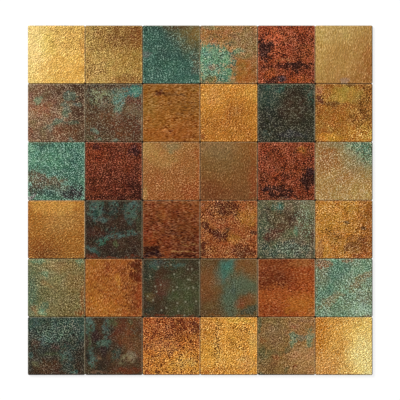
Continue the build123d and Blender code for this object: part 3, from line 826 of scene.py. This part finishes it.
def swingTone(tree, look, seed, place, grain, calm, colour):
    # the paint's own unevenness
    swing, level, uneven = look["swing"], look["level"], look.get("uneven", 1.0)
    tint = patinaLay["mottle"] * uneven
    warmth = patinaLay["warmth"] if swing > 1 else (1, 1, 1)
    mottle = noiseOf(tree, "mottle", place, seed)["Color"]
    tintGain = [2 * tint * level * channel for channel in warmth]
    tintBase = [(1 - tint) * level * channel for channel in warmth]
    tints = vectorNode(tree, "MULTIPLY_ADD", mottle, tintGain, tintBase)
    tinted = vectorNode(tree, "MULTIPLY", colour, tints)

    # the grain, lighter and darker than the paint; the shift is even by eye, so dark grain turns warmer
    fading = noiseOf(tree, "fade", place, seed)["Fac"]
    fade = patinaLay["fade"]
    reach = rangeNode(tree, fading, *patinaLay["fadeTone"], swing * (1 - fade), swing * (1 + fade))
    grainTone = scaled(tree, offMiddle(tree, grain.glint, reach), calm)
    patchTone = offMiddle(tree, grain.patch, patinaLay["patchSwing"] * uneven)
    glow = sum(map(brightness, look["ground"])) / 2
    shift = scaled(tree, mathNode(tree, "ADD", grainTone, patchTone), patinaLay["evenShift"] * glow)
    shifted = vectorNode(tree, "ADD", gammaNode(tree, tinted, 1 / eyeGamma), shift)
    return gammaNode(tree, vectorNode(tree, "MAXIMUM", shifted, [patinaLay["darkest"]] * 3), eyeGamma)


def fillGrain(tree, look, place, grain, calm, colour):
    # what gathers in the pits and rubs bare on the ridges
    pitName, pitStrength, pitStart = look["pits"]
    ridgeName, ridgeStrength, ridgeStart = look["ridges"]
    pitShare = rangeNode(tree, grain.tone, pitStart, pitStart - patinaLay["pitRun"], 0, pitStrength)
    colour = mixColour(tree, scaled(tree, pitShare, calm), colour, paint(pitName))
    ridgeShare = rangeNode(tree, grain.tone, ridgeStart, ridgeStart + patinaLay["ridgeRun"], 0, ridgeStrength)
    colour = mixColour(tree, scaled(tree, ridgeShare, calm), colour, paint(ridgeName))
    if "flecks" in look:
        fleckName, spacing, strength = look["flecks"]
        dots = cellNode(tree, place, spacing * millimetre)
        fleckShare = rangeNode(tree, dots, *patinaLay["fleckEdges"], 0, strength)
        colour = mixColour(tree, fleckShare, colour, paint(fleckName))
    return colour


def rimWearHighlightAndShade(tree, name, look, onChip, half, colour):
    # the rims are paler, partly from wear and partly a painted highlight on the rolled edge; the sheet's
    # outer edges at the right and the bottom get a painted shade
    sides = splitNode(tree, onChip)
    rimX, rimY = 1 - patinaLay["rimRun"] / half.x, 1 - patinaLay["rimRun"] / half.y
    rims = [("X", -rimX, -1), ("X", rimX, 1), ("Y", -rimY, -1), ("Y", rimY, 1)]
    for (axis, start, end), wear in zip(rims, look.get("wearAndHighlight", patinaLay["wearAndHighlight"])):
        if wear:
            share = rangeNode(tree, sides[axis], start, end, 0, wear)
            colour = mixColour(tree, share, colour, paint("champagne"))
    # painted shade: the sheet's outer right and bottom edges are darkened with charcoal, as on the side
    # turned away from the lamp
    if name.endswith("c6"):
        share = rangeNode(tree, sides["X"], 1 - patinaLay["paintedShadeRun"] / half.x, 1)
        colour = mixColour(tree, share, colour, paint("charcoal"))
    if name.startswith("r6"):
        share = rangeNode(tree, sides["Y"], patinaLay["paintedShadeRun"] / half.y - 1, -1)
        colour = mixColour(tree, share, colour, paint("charcoal"))
    return colour


def makeChipFinish(name, middle, half, faceTop):
    look = chipLooks[name]
    seed = patinaLay["seedStep"] * chipNames.index(name)
    material = bpy.data.materials.new("patina_" + name)
    material.use_nodes = True
    tree = material.node_tree
    shader = tree.nodes["Principled BSDF"]
    place = addNode(tree, "ShaderNodeTexCoord").outputs["Object"]
    height = splitNode(tree, place)["Z"]

    # place on the chip, from -1 to 1 each way, and the same place led astray by noise
    onChip = mapped(tree, place, Location=(middle.x, middle.y, faceTop), Scale=(half.x, half.y, half.x))
    drift = noiseOf(tree, "wander", place, seed)["Color"]
    centred = vectorNode(tree, "SUBTRACT", drift, (0.5, 0.5, 0.5))
    wander = 2 * patinaLay["wander"]
    strayed = vectorNode(tree, "MULTIPLY_ADD", centred, (wander, wander, 0), onChip)

    grain = makeGrain(tree, look, seed, place, height, faceTop)
    colour = layGround(tree, look, seed, place, onChip)
    colour, calm = layBlooms(tree, look, seed, place, strayed, grain, colour)
    colour = swingTone(tree, look, seed, place, grain, calm, colour)
    colour = fillGrain(tree, look, place, grain, calm, colour)
    colour = rimWearHighlightAndShade(tree, name, look, onChip, half, colour)

    # below the rolled rim the bare body shows
    bodyStart, bodyFull = (faceTop - below for below in patinaLay["bodyBelow"])
    bodyTone = mixColour(tree, grain.specks, paint("greyBrown"), paint("stoneGrey"))
    colour = mixColour(tree, rangeNode(tree, height, bodyStart, bodyFull), colour, bodyTone)
    tree.links.new(colour, shader.inputs["Base Color"])

    rough = rangeNode(tree, grain.tone, 0.0, 1.0, *patinaLay["roughness"], smooth=False)
    tree.links.new(rough, shader.inputs["Roughness"])
    shader.inputs["Metallic"].default_value = look["metal"]
    shader.inputs["Specular IOR Level"].default_value = patinaLay["specular"]
    wrinkle = noiseOf(tree, "wrinkle", grain.drawn, seed)["Fac"]
    emboss = look.get("emboss", patinaLay["emboss"]) * millimetre
    tree.links.new(bumpNode(tree, wrinkle, 1.0, emboss), shader.inputs["Normal"])
    return material


def placeChip(blank, name):
    node = "chip_" + name
    low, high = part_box(node)
    middle = (low + high) / 2
    selectOnly(blank)
    bpy.ops.object.duplicate(linked=False)
    chip = bpy.context.active_object
    chip.name = "patinaChip_" + name
    chip.data.name = chip.name
    bpy.ops.transform.translate(value=(middle.x, middle.y, 0))
    bpy.ops.object.transform_apply(location=True, rotation=True, scale=True)
    look = chipLooks[name]
    turn, stretch = look.get("draw", grainPattern["draw"])
    grainGuide.rotation_euler = (0, 0, math.radians(turn))
    grainGuide.scale = (stretch, 1, 1)
    bpy.context.view_layer.update()
    press = chip.modifiers.new("press", "DISPLACE")
    press.texture = grainTextures[look.get("grain", "pebble")]
    press.texture_coords = "OBJECT"
    press.texture_coords_object = grainGuide
    press.direction = "Z"
    press.mid_level = 1.0
    press.strength = look.get("depth", grainPattern["depth"]) * millimetre
    press.vertex_group = "pressed"
    bpy.ops.object.modifier_apply(modifier=press.name)
    chip.data.materials.append(makeChipFinish(name, middle, (high - low) / 2, high.z))
    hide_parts(node)
    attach(chip, "root")
    return chip


grainTextures = {kind: makeGrainTexture(kind + "Grain", *grainPattern[kind]) for kind in ("pebble", "worm")}
grainGuide = bpy.data.objects.new("grainGuide", None)    # turns and draws out the grain chip by chip
bpy.context.scene.collection.objects.link(grainGuide)
chipBlank = modelChipBlank()
print("chip blank modelled:", len(chipBlank.data.polygons), "faces")
chips = [placeChip(chipBlank, name) for name in chipNames]
bpy.data.objects.remove(chipBlank)
bpy.data.objects.remove(grainGuide)
print("chips placed:", len(chips))

# The adhesive backing keeps its own shape and gets a dark, slightly tacky skin
backingLook = dict(
    dark=(0.012, 0.012, 0.011, 1), pale=(0.035, 0.034, 0.031, 1), toneEdges=(0.12, 0.4),
    grainNoise=(0.8 * millimetre, 3, 0.6),       # size, detail, roughness
    grainDepth=0.05 * millimetre, grainStrength=0.4,
    broadNoise=(12 * millimetre, 2, 0.5, 4),     # and a seed
    broadEdges=(0.3, 0.7), roughness=(0.45, 0.7),
)


def dressBacking():
    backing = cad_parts["adhesive_backing"]
    material = bpy.data.materials.new("adhesive_skin")
    material.use_nodes = True
    tree = material.node_tree
    shader = tree.nodes["Principled BSDF"]
    place = addNode(tree, "ShaderNodeTexCoord").outputs["Object"]
    grain = noiseNode(tree, place, *backingLook["grainNoise"])["Fac"]
    broad = noiseNode(tree, place, *backingLook["broadNoise"])["Fac"]
    share = rangeNode(tree, scaled(tree, grain, broad), *backingLook["toneEdges"])
    colour = mixColour(tree, share, backingLook["dark"], backingLook["pale"])
    tree.links.new(colour, shader.inputs["Base Color"])
    rough = rangeNode(tree, broad, *backingLook["broadEdges"], *backingLook["roughness"])
    tree.links.new(rough, shader.inputs["Roughness"])
    bump = bumpNode(tree, grain, backingLook["grainStrength"], backingLook["grainDepth"])
    tree.links.new(bump, shader.inputs["Normal"])
    backing.data.materials.clear()
    backing.data.materials.append(material)


dressBacking()
print("backing dressed")

# Floor, light and camera
studio = dict(
    floorSize=4.0, floorTone=0.28, floorLift=0.78,             # the lift makes the floor white to the eye
    worldLevel=0.42,
    keyPlace=(-0.75, 0.75, 1.35), keySize=0.7, keyPower=21.5,  # lamp above the top left corner
    lens=200, sensor=36, clipEnd=20,                           # long lens, so the sides hardly show
    picturePixels=400, sheetPixels=344.8,                      # widths of the picture and of the sheet in it
    lookAt=(-0.17 * millimetre, 0.22 * millimetre),
)


def makeFloor():
    bpy.ops.object.select_all(action="DESELECT")
    bpy.ops.mesh.primitive_plane_add(size=studio["floorSize"], location=(0, 0, 0))
    floor = bpy.context.active_object
    floor.name = "studioFloor"
    material = bpy.data.materials.new("studio_floor")
    material.use_nodes = True
    tree = material.node_tree
    tree.nodes.clear()
    output = addNode(tree, "ShaderNodeOutputMaterial")
    diffuse = addNode(tree, "ShaderNodeBsdfDiffuse")
    tone = studio["floorTone"]
    diffuse.inputs["Color"].default_value = (tone, tone, tone, 1)
    glow = addNode(tree, "ShaderNodeEmission")
    path = addNode(tree, "ShaderNodeLightPath")
    seen = path.outputs["Is Camera Ray"]
    for ray in ("Is Glossy Ray", "Is Transmission Ray"):
        seen = mathNode(tree, "MAXIMUM", seen, path.outputs[ray])
    tree.links.new(scaled(tree, seen, studio["floorLift"]), glow.inputs["Strength"])
    both = addNode(tree, "ShaderNodeAddShader")
    tree.links.new(diffuse.outputs[0], both.inputs[0])
    tree.links.new(glow.outputs[0], both.inputs[1])
    tree.links.new(both.outputs[0], output.inputs["Surface"])
    floor.data.materials.append(material)


def makeLight():
    world = bpy.data.worlds.new("studioWorld")
    bpy.context.scene.world = world
    world.use_nodes = True
    background = world.node_tree.nodes["Background"]
    background.inputs["Color"].default_value = (1, 1, 1, 1)
    background.inputs["Strength"].default_value = studio["worldLevel"]
    lamp = bpy.data.lights.new("keyLight", "AREA")
    lamp.energy = studio["keyPower"]
    lamp.size = studio["keySize"]
    key = bpy.data.objects.new("keyLight", lamp)
    bpy.context.scene.collection.objects.link(key)
    key.location = studio["keyPlace"]
    key.rotation_euler = (-Vector(studio["keyPlace"])).to_track_quat("-Z", "Y").to_euler()


def makeCamera():
    cameraData = bpy.data.cameras.new("photoCamera")
    camera = bpy.data.objects.new("photoCamera", cameraData)
    bpy.context.scene.collection.objects.link(camera)
    cameraData.lens = studio["lens"]
    cameraData.sensor_width = studio["sensor"]
    sheetWidth = cadBox[1].x - cadBox[0].x
    frameWidth = sheetWidth * studio["picturePixels"] / studio["sheetPixels"]
    away = frameWidth * studio["lens"] / studio["sensor"]
    x, y = studio["lookAt"]
    camera.location = (x, y, cadBox[1].z + away)
    camera.rotation_euler = (0, 0, 0)
    cameraData.clip_end = studio["clipEnd"]
    bpy.context.scene.camera = camera


makeFloor()
makeLight()
makeCamera()
bpy.context.scene.view_settings.view_transform = "Standard"
print("studio set")
